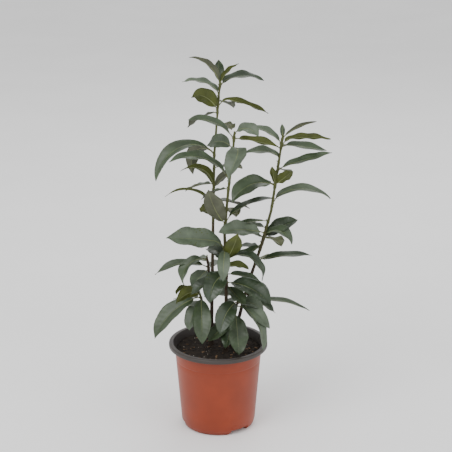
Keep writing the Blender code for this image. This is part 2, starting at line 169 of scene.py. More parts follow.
LEFT_TOP = (
    Leaf(59.2, 205, 8.3, 2.2, 84, 84, 20),
    Leaf(59.6, 100, 4.0, 1.9, 60, -20),
    Leaf(59.4, 335, 5.3, 1.5, 76, 58, -20),
    Leaf(58.9, 15, 8.6, 2.8, 60, 78, 15, 0, 20),
    Leaf(57.3, 165, 7.7, 2.2, 83, 78, -10, 0, 30),
    Leaf(55.0, 215, 6.8, 3.2, 67, 68, 60, 0, 0, -40),
    Leaf(55.8, 350, 9.3, 2.2, 51, 32, -40, 0, 50),
)
LEFT_MIDDLE = (
    Leaf(47.8, 205, 14.5, 3.4, 51, 142, -15),
    Leaf(47.6, 130, 10.2, 2.8, 37, 156, 40),
    Leaf(41.6, 215, 9.5, 2.0, 91, 118, 40),
    Leaf(41.8, 45, 4.8, 2.4, 59, 72, -75),
    Leaf(38.0, 195, 10.7, 1.6, 78, 118, 30),
    Leaf(37.5, 235, 3.9, 3.0, 39, -4, 40),
)
CENTRE_TOP = (
    Leaf(51.6, 200, 9.4, 2.4, 64, 76, -25),
    Leaf(50.1, 122, 8.7, 2.8, 20, 60, -60),
    Leaf(52.4, 330, 5.7, 2.6, 68, 134, 30),
    Leaf(51.8, 345, 8.0, 2.6, 8, 32, -45),
    Leaf(50.1, 302, 9.2, 3.8, 30, 128, 0, -110),
)
CENTRE_MIDDLE = (
    Leaf(44.4, 200, 12.8, 2.6, 72, 100, -25),
    Leaf(37.1, 235, 8.6, 3.6, 45, -22, 35),
    Leaf(37.1, 25, 11.3, 2.4, 62, 58, 0, 0, 20),
)
CENTRE_LOW = (
    Leaf(30.7, 300, 7.1, 3.0, 46, -18, -35),
    Leaf(30.1, 340, 10.4, 2.6, 64, 172, 5),
    Leaf(32.6, 266, 6.8, 2.4, 4, 92, -5),
    Leaf(29.4, 350, 4.2, 2.6, 34, 74, -50),
    Leaf(28.1, 15, 6.9, 2.4, 2, 44, 15),
    Leaf(32.3, 200, 11.5, 4.4, 62, 22, -40, 0, 40),
    Leaf(27.6, 243, 8.1, 4.1, 39, 130, -30),
    Leaf(26.5, 327, 9.7, 4.2, 21, 70, 20),
    Leaf(30.0, 135, 5.7, 3.2, 70, 108, -15),
    Leaf(28.0, 198, 7.2, 3.0, 1, 54, -10),
    Leaf(26.2, 318, 5.0, 3.0, -24, 10, 10),
)
RIGHT_TOP = (
    Leaf(51.1, 100, 2.4, 0.95, 96, 40),
    Leaf(51.1, 350, 6.5, 1.2, 50, 44, -45),
    Leaf(49.8, 345, 8.9, 2.2, 55, 30, -45, 0, 35),
    Leaf(49.6, 10, 8.0, 2.6, 18, 18, 20, 0, 20),
    Leaf(50.1, 175, 5.9, 2.4, 62, 66, -15),
)
RIGHT_MIDDLE = (
    Leaf(47.0, 190, 7.2, 2.4, 92, 66, -20, 0, 50),
    Leaf(45.5, 355, 9.7, 2.4, 41, 8, 20, 0, 20),
    Leaf(43.1, 320, 4.8, 2.2, 46, 12, -50),
    Leaf(43.1, 240, 3.7, 1.6, 77, 12),
    Leaf(39.6, 10, 11.8, 2.4, 65, 92, 20, 0, 20),
    Leaf(42.9, 205, 9.4, 3.7, 39, 106, -30),
)
RIGHT_LOW = (
    Leaf(33.6, 15, 6.9, 3.6, 46, 42, 25),
    Leaf(34.0, 345, 6.8, 3.0, 66, 158, 15),
    Leaf(36.8, 182, 7.0, 2.0, 9, 40, -5),
    Leaf(34.6, 213, 9.6, 3.6, 30, 38, -35),
    Leaf(32.9, 200, 5.2, 2.1, -38, -50, -10),
    Leaf(29.6, 10, 9.8, 2.4, 18, 32, 10),
    Leaf(33.8, 200, 2.1, 0.8, 41, 30, -30),
)
LEFT_LOW = (
    Leaf(29.4, 200, 7.9, 2.8, 31, 152, -15),
    Leaf(28.0, 180, 9.9, 2.4, 29, 76, -15),
    Leaf(27.6, 238, 5.6, 3.0, 4, 40, -15),
)
LEFT_SKIRT = (
    Leaf(23.2, 200, 11.4, 3.8, -2, 74, -25),
    Leaf(23.2, 214, 6.0, 2.8, 58, 124, 80),
    Leaf(23.2, 273, 9.4, 3.5, -5, 88),
    Leaf(21.7, 240, 6.7, 3.0, 24, 122, 5),
    Leaf(22.8, 162, 6.6, 2.8, 84, 166, 20),
)
CENTRE_SKIRT = (
    Leaf(23.4, 240, 7.8, 3.6, 10, 88, -30),
    Leaf(21.7, 281, 7.8, 3.8, -38, 50, -5),
    Leaf(23.4, 325, 7.4, 2.8, -10, 36, 25),
    Leaf(22.5, 316, 11.3, 2.6, 18, 136, -10),
    Leaf(19.6, 255, 5.2, 2.6, -35, 10, 15),
    Leaf(18.8, 215, 5.0, 2.8, 3, 50, -25),
    Leaf(22.8, 350, 5.2, 3.0, 40, 100, 20),
)
RIGHT_SKIRT = (
    Leaf(22.0, 5, 11.5, 2.2, 14, 50, 5),
    Leaf(21.7, 335, 6.0, 2.4, 32, 82),
)

WOOD = (
    ("stem_left", LEFT_LINE, 36.0),
    ("stem_centre", CENTRE_LINE, 25.5),
    ("stem_right", RIGHT_LINE, 28.5),
)
MASSES = (
    Mass("foliage_left_middle", LEFT_LINE, 36.0, 50.5, LEFT_MIDDLE, 4, 38.5, 49.5),
    Mass("foliage_left_top", LEFT_LINE, 50.5, 59.9, LEFT_TOP, 3, 52.0, 57.5),
    Mass("foliage_centre_low", CENTRE_LINE, 25.5, 34.5, CENTRE_LOW, 3, 27.0, 33.0),
    Mass("foliage_centre_middle", CENTRE_LINE, 34.5, 47.0, CENTRE_MIDDLE, 2, 38.0, 45.0),
    Mass("foliage_centre_top", CENTRE_LINE, 47.0, 52.7, CENTRE_TOP, 1, 48.0, 50.5),
    Mass("foliage_right_low", RIGHT_LINE, 28.5, 38.2, RIGHT_LOW, 4, 29.0, 36.5),
    Mass("foliage_right_middle", RIGHT_LINE, 38.2, 48.3, RIGHT_MIDDLE, 3, 39.5, 47.0),
    Mass("foliage_right_top", RIGHT_LINE, 48.3, 51.6, RIGHT_TOP, 1, 49.0, 50.5),
    Mass("foliage_left_low", LEFT_LOW_LINE, 26.4, 30.0, LEFT_LOW, 2, 27.2, 29.8),
    Mass("foliage_left_skirt", LEFT_SKIRT_LINE, 18.5, 23.5, LEFT_SKIRT, 4, 19.2, 23.4),
    Mass("foliage_centre_skirt", CENTRE_SKIRT_LINE, 18.0, 23.6, CENTRE_SKIRT),
    Mass("foliage_right_skirt", RIGHT_SKIRT_LINE, 21.5, 23.5, RIGHT_SKIRT, 4, 21.7, 23.4),
)


class Shape:
    """Points, faces and the number of each face's material, gathered for one joined piece."""

    def __init__(self):
        self.points = []
        self.faces = []
        self.tones = []

    def grid(self, rows, tone, closed=False, flip=False):
        """Quads between rows of points; closed joins the last column to the first."""
        start = len(self.points)
        width = len(rows[0])
        for row in rows:
            self.points += row
        for row in range(len(rows) - 1):
            for column in range(width if closed else width - 1):
                after = (column + 1) % width
                low = start + row * width
                high = low + width
                face = (low + column, low + after, high + after, high + column)
                self.faces.append(tuple(reversed(face)) if flip else face)
                self.tones.append(tone)
        return start

    def tube(self, path, radii, sides, tone, squash=1.0, frames=None):
        """A tube along a path, closed at both ends."""
        rows = []
        for index, (spot, radius) in enumerate(zip(path, radii)):
            if frames:
                side, above = frames[index]
            else:
                before = path[max(0, index - 1)]
                after = path[min(len(path) - 1, index + 1)]
                ahead = (after - before).normalized()
                level = Vector((0.0, 0.0, 1.0)) if abs(ahead.z) < 0.9 else Vector((1.0, 0.0, 0.0))
                side = ahead.cross(level).normalized()
                above = side.cross(ahead).normalized()
            row = []
            for corner in range(sides):
                angle = 2 * math.pi * corner / sides
                row.append(spot + side * (radius * math.cos(angle)) + above * (radius * squash * math.sin(angle)))
            rows.append(row)
        start = self.grid(rows, tone, closed=True)
        last = start + (len(rows) - 1) * sides
        self.faces.append(tuple(range(start + sides - 1, start - 1, -1)))
        self.faces.append(tuple(range(last, last + sides)))
        self.tones += [tone, tone]

    def build(self, name, materials, smooth=True):
        mesh = bpy.data.meshes.new(name)
        mesh.from_pydata([tuple(value * CM for value in point) for point in self.points], [], self.faces)
        for material in materials:
            mesh.materials.append(material)
        mesh.polygons.foreach_set("material_index", self.tones)
        mesh.polygons.foreach_set("use_smooth", [smooth] * len(self.faces))
        mesh.update()
        made = bpy.data.objects.new(name, mesh)
        bpy.context.scene.collection.objects.link(made)
        return made


def along(line, height):
    """The point of a rising line at a height."""
    low, high = line[0], line[1]
    for first, second in zip(line, line[1:]):
        low, high = first, second
        if height <= second[2]:
            break
    share = (height - low[2]) / (high[2] - low[2])
    return Vector(low).lerp(Vector(high), share)


def stem_radius(height):
    """Half thickness of a main stem at a height."""
    share = (height - SOIL_TOP) / STEM_HEIGHT
    return STEM_LOW_RADIUS + (STEM_TOP_RADIUS - STEM_LOW_RADIUS) * share


def flared_radius(height):
    """As stem_radius, with a flare at the soil."""
    near = max(0.0, 1 - (height - SOIL_TOP) / FLARE_HEIGHT)
    return stem_radius(height) * (1 + (FLARE - 1) * near * near)


def shoot_radius(line):
    """How a low side shoot tapers along its own line."""
    low, high = line[0][2], line[-1][2]

    def radius(height):
        share = (height - low) / (high - low)
        return SHOOT_LOW_RADIUS + (SHOOT_TOP_RADIUS - SHOOT_LOW_RADIUS) * share

    return radius


def eased(share):
    """Rises smoothly from 0 to 1."""
    share = min(1.0, max(0.0, share))
    return share * share * (3 - 2 * share)


def leaf_frames(leaf, foot):
    """Point, direction, side and upper side at equal steps along the middle of a leaf."""
    spot = foot.copy()
    frames = []
    for count in range(CURVE_STEPS + 1):
        share = count / CURVE_STEPS
        bend = leaf.knee * eased((share - KNEE_FROM) / (KNEE_TO - KNEE_FROM))
        curl = leaf.curl * max(0.0, share - CURL_FROM) / (1 - CURL_FROM)
        slope = math.radians(leaf.rise - leaf.droop * share - bend + curl)
        heading = math.radians(leaf.turn + leaf.sway * share)
        ahead = Vector((
            math.cos(slope) * math.cos(heading),
            math.cos(slope) * math.sin(heading),
            math.sin(slope),
        ))
        level = Vector((-math.sin(heading), math.cos(heading), 0.0))
        roll = math.radians(leaf.roll)
        side = level * math.cos(roll) + ahead.cross(level) * math.sin(roll)
        frames.append((spot.copy(), ahead, side, ahead.cross(side)))
        spot = spot + ahead * (leaf.length / CURVE_STEPS)
    return frames


def between(frames, share):
    """The frame at any share of a leaf's length."""
    place = min(CURVE_STEPS - 1e-6, share * CURVE_STEPS)
    low = int(place)
    part = place - low
    mixed = [first.lerp(second, part) for first, second in zip(frames[low], frames[low + 1])]
    return mixed


def leaf_marks(leaf, foot):
    """Points on the middle and both edges of a blade, to tell what it comes near."""
    frames = leaf_frames(leaf, foot)
    marks = [place[0] for place in frames[MARKS_FROM::2]]
    for share, outline in zip(LEAF_STATIONS, LEAF_OUTLINE):
        spot, _, side, _ = frames[round(share * CURVE_STEPS)]
        reach = side * (leaf.width / 2 * outline)
        marks += [spot + reach, spot - reach, spot + reach / 2, spot - reach / 2]
    return marks


def is_free(marks, line, taken):
    """Whether a leaf keeps clear of the other limbs, of the pot and of the leaves so far."""
    for mark in marks:
        if mark.z < RIM_TOP + POT_CLEARANCE:
            return False
        for other in (LEFT_LINE, CENTRE_LINE, RIGHT_LINE):
            if other is not line and other[0][2] < mark.z < other[-1][2]:
                if (along(other, mark.z) - mark).length < LIMB_CLEARANCE:
                    return False
        if any((mark - near).length < LEAF_CLEARANCE for near in taken):
            return False
    return True


def away_leaves(mass, chance, taken):
    """Leaves on the side away from the viewer; a draw that would touch something is skipped."""
    grown = []
    for count in range(mass.away):
        share = (count + 0.5) / mass.away
        height = mass.away_low + (mass.away_high - mass.away_low) * share
        for _ in range(DRAWS):
            swing = chance.uniform(*AWAY_SPREAD) * (1 if count % 2 else -1)
            length = chance.uniform(*AWAY_LENGTH)
            leaf = Leaf(
                height, AWAY_TURN + swing, length, length * chance.uniform(*AWAY_WIDTH_SHARE),
                chance.uniform(*AWAY_RISE), chance.uniform(*AWAY_DROOP),
                chance.uniform(-AWAY_ROLL, AWAY_ROLL),
            )
            marks = leaf_marks(leaf, along(mass.line, height))
            if is_free(marks, mass.line, taken):
                grown.append(leaf)
                taken += marks
                break
    return grown


# Materials

def principled(name, roughness, specular=0.5):
    """A new material, its node tree and its shader."""
    made = bpy.data.materials.new(name)
    made.use_nodes = True
    tree = made.node_tree
    shader = tree.nodes["Principled BSDF"]
    shader.inputs["Roughness"].default_value = roughness
    shader.inputs["Specular IOR Level"].default_value = specular
    return made, tree, shader


def noise_node(tree, scale, detail=3.0, stretch=None):
    """Noise over the object's own coordinates."""
    coordinates = tree.nodes.new("ShaderNodeTexCoord")
    mapping = tree.nodes.new("ShaderNodeMapping")
    if stretch:
        mapping.inputs["Scale"].default_value = stretch
    pattern = tree.nodes.new("ShaderNodeTexNoise")
    pattern.inputs["Scale"].default_value = scale
    pattern.inputs["Detail"].default_value = detail
    tree.links.new(coordinates.outputs["Object"], mapping.inputs["Vector"])
    tree.links.new(mapping.outputs["Vector"], pattern.inputs["Vector"])
    return pattern


def ramp_node(tree, source, stops):
    """Colours by the value of a pattern."""
    ramp = tree.nodes.new("ShaderNodeValToRGB")
    while len(ramp.color_ramp.elements) < len(stops):
        ramp.color_ramp.elements.new(0.5)
    for element, (place, colour) in zip(ramp.color_ramp.elements, stops):
        element.position = place
        element.color = (*colour, 1.0)
    tree.links.new(source, ramp.inputs["Fac"])
    return ramp


def bump_node(tree, shader, source, strength, distance):
    bump = tree.nodes.new("ShaderNodeBump")
    bump.inputs["Strength"].default_value = strength
    bump.inputs["Distance"].default_value = distance
    tree.links.new(source, bump.inputs["Height"])
    tree.links.new(bump.outputs["Normal"], shader.inputs["Normal"])


def shaded(colour, factor):
    return tuple(value * factor for value in colour)


def leaf_material(name, colour, roughness, specular):
    """Leathery leaf: soft mottling and a fine grain."""
    made, tree, shader = principled(name, roughness, specular)
    mottle = noise_node(tree, 55.0, 4.0)
    ramp = ramp_node(tree, mottle.outputs["Fac"], (
        (0.30, shaded(colour, 0.72)), (0.52, colour), (0.72, shaded(colour, 1.3)),
    ))
    tree.links.new(ramp.outputs["Color"], shader.inputs["Base Color"])
    grain = noise_node(tree, 620.0, 2.0)
    bump_node(tree, shader, grain.outputs["Fac"], 0.15, 0.0004)
    return made


LEAF_TONES = (
    ("leaf_top_dark", (0.020, 0.036, 0.014), 0.38, 0.5),
    ("leaf_top_green", (0.038, 0.060, 0.026), 0.42, 0.5),
    ("leaf_top_grey", (0.070, 0.095, 0.058), 0.50, 0.5),
    ("leaf_under_olive", (0.060, 0.072, 0.012), 0.55, 0.3),
    ("leaf_under_grey", (0.075, 0.080, 0.050), 0.60, 0.3),
    ("leaf_rib", (0.150, 0.170, 0.070), 0.50, 0.4),
    ("leaf_stalk", (0.085, 0.095, 0.022), 0.50, 0.4),
)
RIB_TONE = 5
STALK_TONE = 6


def bark_material(name, low_colour, high_colour, low, high):
    """Bark that turns from brown to green with height, with long streaks and pores."""
    made, tree, shader = principled(name, 0.75, 0.3)
    coordinates = tree.nodes.new("ShaderNodeTexCoord")
    parts = tree.nodes.new("ShaderNodeSeparateXYZ")
    tree.links.new(coordinates.outputs["Object"], parts.inputs["Vector"])
    rising = tree.nodes.new("ShaderNodeMapRange")
    rising.inputs["From Min"].default_value = low * CM
    rising.inputs["From Max"].default_value = high * CM
    tree.links.new(parts.outputs["Z"], rising.inputs["Value"])
    streaks = noise_node(tree, 260.0, 4.0, (1.0, 1.0, 0.16))
    spread = tree.nodes.new("ShaderNodeMath")
    spread.operation = "MULTIPLY_ADD"
    spread.inputs[1].default_value = 0.9
    spread.inputs[2].default_value = -0.45
    tree.links.new(streaks.outputs["Fac"], spread.inputs[0])
    summed = tree.nodes.new("ShaderNodeMath")
    summed.operation = "ADD"
    tree.links.new(rising.outputs["Result"], summed.inputs[0])
    tree.links.new(spread.outputs["Value"], summed.inputs[1])
    ramp = ramp_node(tree, summed.outputs["Value"], (
        (0.0, shaded(low_colour, 0.6)), (0.35, low_colour), (0.8, high_colour), (1.0, shaded(high_colour, 1.25)),
    ))
    tree.links.new(ramp.outputs["Color"], shader.inputs["Base Color"])
    bump_node(tree, shader, streaks.outputs["Fac"], 0.5, 0.0006)
    return made


def plastic_material(name, colour, roughness):
    """Thin moulded plastic with dust and faint streaks."""
    made, tree, shader = principled(name, roughness, 0.4)
    dust = noise_node(tree, 22.0, 6.0)
    ramp = ramp_node(tree, dust.outputs["Fac"], (
        (0.3, shaded(colour, 0.86)), (0.55, colour), (0.75, shaded(colour, 1.15)),
    ))
    tree.links.new(ramp.outputs["Color"], shader.inputs["Base Color"])
    fine = noise_node(tree, 420.0, 2.0)
    bump_node(tree, shader, fine.outputs["Fac"], 0.12, 0.0003)
    return made


def earth_material(name, dark, pale, scale):
    made, tree, shader = principled(name, 0.95, 0.2)
    crumbs = noise_node(tree, scale, 8.0)
    ramp = ramp_node(tree, crumbs.outputs["Fac"], ((0.35, dark), (0.62, pale)))
    tree.links.new(ramp.outputs["Color"], shader.inputs["Base Color"])
    bump_node(tree, shader, crumbs.outputs["Fac"], 0.8, 0.001)
    return made


# Leaves and shoots

def blade_width(part):
    """Half width as a share of the widest, from the blade's foot (0) to its tip (1)."""
    if part <= 0.0 or part >= 1.0:
        return 0.0
    return (4 * part * (1 - part)) ** (0.6 + 0.45 * part)


def add_leaf(shape, leaf, foot, tones, chance):
    """A blade with both faces, its wavy toothed edge, quilting and rib, on its stalk."""
    top_tone, under_tone = tones
    frames = leaf_frames(leaf, foot)
    fold = math.radians(LEAF_FOLD)
    waves = chance.uniform(1.6, 3.2)
    wave_height = leaf.width * chance.uniform(0.02, 0.06)
    left_phase = chance.uniform(0, 2 * math.pi)
    right_phase = chance.uniform(0, 2 * math.pi)
    upper, lower = [], []
    for row in range(BLADE_ROWS + 1):
        part = (row / BLADE_ROWS) ** 0.9
        share = PETIOLE_SHARE + (1 - PETIOLE_SHARE) * part
        spot, ahead, side, above = between(frames, share)
        tooth = 1 - 0.035 * ((part * TEETH) % 1.0) * (0.2 < part < 0.97)
        half = leaf.width / 2 * blade_width(part) * tooth + 0.012
        top_row, under_row = [], []
        for column in range(BLADE_COLUMNS + 1):
            across = 2 * column / BLADE_COLUMNS - 1
            size = abs(across)
            phase = left_phase if across > 0 else right_phase
            lift = half * math.sin(fold) * (size ** 1.25 - 0.5)
            lift += wave_height * size ** 2 * math.sin(2 * math.pi * waves * part + phase)
            lift -= half * 0.10 * size ** 5
            quilt = math.cos(2 * math.pi * VEINS * (part - 0.10 * size))
            lift += 0.018 * half * 4 * size * (1 - size) * quilt
            place = spot + side * (half * math.cos(fold) * across) + above * lift
            thin = BLADE_THICKNESS / 2 * (1 - 0.6 * size)
            top_row.append(place + above * thin)
            under_row.append(place - above * thin)
        upper.append(top_row)
        lower.append(under_row)
    start = shape.grid(upper, top_tone, flip=True)
    below = shape.grid(lower, under_tone)
    width = BLADE_COLUMNS + 1
    rows = BLADE_ROWS
    rim = [(row, 0) for row in range(rows + 1)]
    rim += [(rows, column) for column in range(1, width)]
    rim += [(row, width - 1) for row in range(rows - 1, -1, -1)]
    rim += [(0, column) for column in range(width - 2, 0, -1)]
    for (row, column), (next_row, next_column) in zip(rim, rim[1:] + rim[:1]):
        here = row * width + column
        there = next_row * width + next_column
        shape.faces.append((start + here, start + there, below + there, below + here))
        shape.tones.append(under_tone)
    add_rib(shape, leaf, frames)


def add_rib(shape, leaf, frames):
    """Stalk and midrib: one tube from the stem to near the tip, sunk in the blade's fold."""
    fold = math.radians(LEAF_FOLD)
    stalk, stalk_radii, stalk_sides = [], [], []
    rib, rib_radii, rib_sides = [], [], []
    count = 30
    for step in range(count + 1):
        share = 0.97 * step / count
        spot, _, side, above = between(frames, share)
        part = (share - PETIOLE_SHARE) / (1 - PETIOLE_SHARE)
        if part < 0.04:
            stalk.append(spot)
            stalk_radii.append(PETIOLE_RADIUS * (1 - 0.25 * share / PETIOLE_SHARE))
            stalk_sides.append((side, above))
        if part >= 0.0:
            half = leaf.width / 2 * blade_width(max(part, 0.001))
            sunk = spot - above * (half * math.sin(fold) * 0.5)
            rib.append(sunk)
            rib_radii.append(0.075 * (1 - part) + 0.012)
            rib_sides.append((side, above))
    shape.tube(stalk, stalk_radii, 8, STALK_TONE, frames=stalk_sides)
    shape.tube(rib, rib_radii, 6, RIB_TONE, squash=0.75, frames=rib_sides)


def add_bud(shape, foot, turn, size, tone):
    """A small pointed bud in a leaf's axil."""
    angle = math.radians(turn)
    ahead = Vector((math.cos(angle) * 0.6, math.sin(angle) * 0.6, 0.8)).normalized()
    path = [foot + ahead * (size * step / 6) for step in range(7)]
    radii = [size * 0.28 * math.sin(math.pi * (0.2 + 0.8 * step / 6)) + 0.004 for step in range(7)]
    shape.tube(path, radii, 8, tone)


def stem_piece(name, line, low, high, radius_at, knots, relief, material):
    """A stem with the relief of its bark and a swelling under each leaf."""
    shape = Shape()
    steps = max(8, round((high - low) / STEM_STEP))
    path, radii = [], []
    rows = []
    for step in range(steps + 1):
        height = low + (high - low) * step / steps
        middle = along(line, height)
        swell = sum(NODE_SWELL * math.exp(-((height - knot) / 0.25) ** 2) for knot in knots)
        reach = radius_at(height) + min(swell, NODE_SWELL * 1.5)
        row = []
        for corner in range(STEM_SIDES):
            angle = 2 * math.pi * corner / STEM_SIDES
            out = Vector((math.cos(angle), math.sin(angle), 0.0))
            spot = Vector((middle.x * 3, middle.y * 3, height * 0.9)) + out * 1.6
            rough = relief * noise.noise(Vector((spot.x, spot.y, spot.z)))
            row.append(middle + out * (reach + rough))
        rows.append(row)
    start = shape.grid(rows, 0, closed=True)
    last = start + steps * STEM_SIDES
    shape.faces.append(tuple(range(start + STEM_SIDES - 1, start - 1, -1)))
    shape.faces.append(tuple(range(last, last + STEM_SIDES)))
    shape.tones += [0, 0]
    made = shape.build(name, [material])
    return made


def plant(leaf_materials, young_bark):
    """Every mass: its shoot with buds, and its leaves joined in one piece."""
    chance = random.Random(7)
    taken = []
    for mass in MASSES:
        for leaf in mass.leaves:
            taken += leaf_marks(leaf, along(mass.line, leaf.height))
    for seed, mass in enumerate(MASSES):
        leaves = list(mass.leaves) + away_leaves(mass, random.Random(seed), taken)
        side_shoot = mass.line not in (LEFT_LINE, CENTRE_LINE, RIGHT_LINE)
        radius_at = shoot_radius(mass.line) if side_shoot else stem_radius
        knots = [leaf.height - 0.15 for leaf in leaves]
        shoot = stem_piece(
            mass.name.replace("foliage", "shoot"), mass.line, mass.low + 0.03, mass.high,
            radius_at, knots, BARK_RELIEF / 2, young_bark,
        )
        shape = Shape()
        for leaf in leaves:
            foot = along(mass.line, leaf.height)
            tones = (chance.choice((0, 1, 1, 2)), chance.choice((3, 3, 4)))
            add_leaf(shape, leaf, foot, tones, chance)
            out = Vector((math.cos(math.radians(leaf.turn)), math.sin(math.radians(leaf.turn)), 0.0))
            bud_foot = foot + out * radius_at(leaf.height) * 0.8 + Vector((0.0, 0.0, 0.12))
            add_bud(shape, bud_foot, leaf.turn, 0.34, STALK_TONE)
        tip = along(mass.line, mass.high)
        if mass.high in (59.9, 52.7, 51.6) or side_shoot:
            add_bud(shape, tip - Vector((0.0, 0.0, 0.05)), 90.0, 0.5, STALK_TONE)
        piece = shape.build(mass.name.replace("foliage", "leaves"), leaf_materials)
        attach(shoot, "root")
        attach(piece, "root")
        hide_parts(mass.name)


def wood(bark):
    for name, line, top in WOOD:
        piece = stem_piece(name + "_bark", line, SOIL_TOP - 0.4, top, flared_radius, (), BARK_RELIEF, bark)
        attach(piece, "root")
        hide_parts(name)


# Pot and soil

def body_radius(height):
    share = (height - BODY_LOW_Z) / (RIM_TOP - LIP_DROP - BODY_LOW_Z)
    return BODY_LOW_RADIUS + (BODY_TOP_RADIUS - BODY_LOW_RADIUS) * share


def inside_radius(height):
    return body_radius(height) - WALL - STEP_DEPTH


def arc(middle_radius, middle_height, radius, first, last, steps):
    """Points of a round corner in a profile."""
    turns = [math.radians(first + (last - first) * step / steps) for step in range(steps + 1)]
    return [(middle_radius + radius * math.cos(turn), middle_height + radius * math.sin(turn)) for turn in turns]


def pot_profile():
    """The wall's outline, and how many of its bands are outside, under the rim."""
    lip_low = RIM_TOP - LIP_DROP
    outside = [(0.0, 0.0), (PAD_RADIUS, 0.0), (PAD_RADIUS + CHANNEL_SLANT, CHANNEL_HEIGHT)]
    outside += [(FOOT_RADIUS - FOOT_WIDTH - CHANNEL_SLANT, CHANNEL_HEIGHT), (FOOT_RADIUS - FOOT_WIDTH, 0.0)]
    outside += arc(FOOT_RADIUS - 0.1, 0.12, 0.12, 270, 345, 4)
    outside += [(FOOT_RADIUS + 0.3, 0.30), (FOOT_RADIUS + 0.36, 0.34)]
    outside += [(BODY_LOW_RADIUS - 0.05, BODY_LOW_Z - 0.1), (BODY_LOW_RADIUS, BODY_LOW_Z)]
    outside += [(body_radius(height), height) for height in (3.0, 5.0, 7.0, 9.0, 11.0, 11.8)]
    outside += [
        (body_radius(STEP_Z) - STEP_DEPTH, STEP_Z - 0.16), (body_radius(STEP_Z) - STEP_DEPTH, STEP_Z - 0.08),
        (body_radius(STEP_Z), STEP_Z), (body_radius(STEP_Z) + 0.01, STEP_Z + 0.1),
        (body_radius(13.4), 13.4), (BODY_TOP_RADIUS, lip_low - 0.05),
    ]
    rim = arc(BODY_TOP_RADIUS + 0.06, lip_low + 0.02, 0.06, 180, 120, 2)
    rim += [(RIM_RADIUS - 0.2, lip_low + 0.06)]
    rim += arc(RIM_RADIUS - 0.12, lip_low + 0.16, 0.12, 280, 350, 4)
    rim += arc(RIM_RADIUS - 0.24, RIM_TOP - 0.24, 0.24, 5, 90, 7)
    rim += arc(LIP_INNER_RADIUS + 0.12, RIM_TOP - 0.12, 0.12, 90, 175, 5)
    inside = [(inside_radius(lip_low - 0.25), lip_low - 0.25), (inside_radius(SOIL_TOP - 1.5), SOIL_TOP - 1.5)]
    inside += [(inside_radius(FLOOR_Z), FLOOR_Z), (0.0, FLOOR_Z)]
    return outside, rim, inside


def notch_lift(turn):
    """How far a notch raises the foot ring in one direction."""
    lift = 0.0
    for middle in NOTCH_TURNS:
        away = abs((turn - middle + 180) % 360 - 180)
        lift = max(lift, eased((NOTCH_HALF_TURN - away) / 4.0 + 0.5))
    return lift * NOTCH_HEIGHT


def pot(outside_material, rim_material):
    outside, rim, inside = pot_profile()
    profile = outside + rim + inside
    shape = Shape()
    rows = []
    for radius, height in profile[1:-1]:
        row = []
        for side in range(POT_SIDES):
            turn = 360 * side / POT_SIDES
            angle = math.radians(turn)
            lifted = height
            if height < NOTCH_HEIGHT and radius > PAD_RADIUS + 1.0:
                lifted = max(height, notch_lift(turn))
            row.append(Vector((radius * math.cos(angle), radius * math.sin(angle), lifted)))
        rows.append(row)
    outside_bands = len(outside) - 2
    shape.grid(rows[:outside_bands + 1], 0, closed=True)
    shape.grid(rows[outside_bands:], 1, closed=True)
    first = 0
    last = len(shape.points) - POT_SIDES
    for ring, height, tone in ((first, 0.0, 0), (last, FLOOR_Z, 1)):
        middle = len(shape.points)
        shape.points.append(Vector((0.0, 0.0, height)))
        for side in range(POT_SIDES):
            here, there = ring + side, ring + (side + 1) % POT_SIDES
            shape.faces.append((middle, there, here) if tone == 0 else (middle, here, there))
            shape.tones.append(tone)
    piece = shape.build("pot_shell", [outside_material, rim_material])
    weld(piece)
    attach(piece, "root")
    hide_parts("pot")


def weld(piece):
    """Joins points that lie in the same place."""
    import bmesh
    work = bmesh.new()
    work.from_mesh(piece.data)
    bmesh.ops.remove_doubles(work, verts=work.verts, dist=1e-6)
    work.to_mesh(piece.data)
    work.free()


def soil_height(x, y):
    """The soil's surface: low mounds and crumbs."""
    near = math.hypot(x, y) / inside_radius(SOIL_TOP)
    mound = 0.16 * noise.noise(Vector((x * 0.28, y * 0.28, 3.0)))
    crumbs = 0.11 * noise.noise(Vector((x * 1.7, y * 1.7, 7.0)))
    grit = 0.05 * noise.noise(Vector((x * 5.0, y * 5.0, 1.0)))
    return SOIL_TOP - 0.12 + mound + crumbs + grit - 0.25 * max(0.0, near - 0.85) ** 0.5


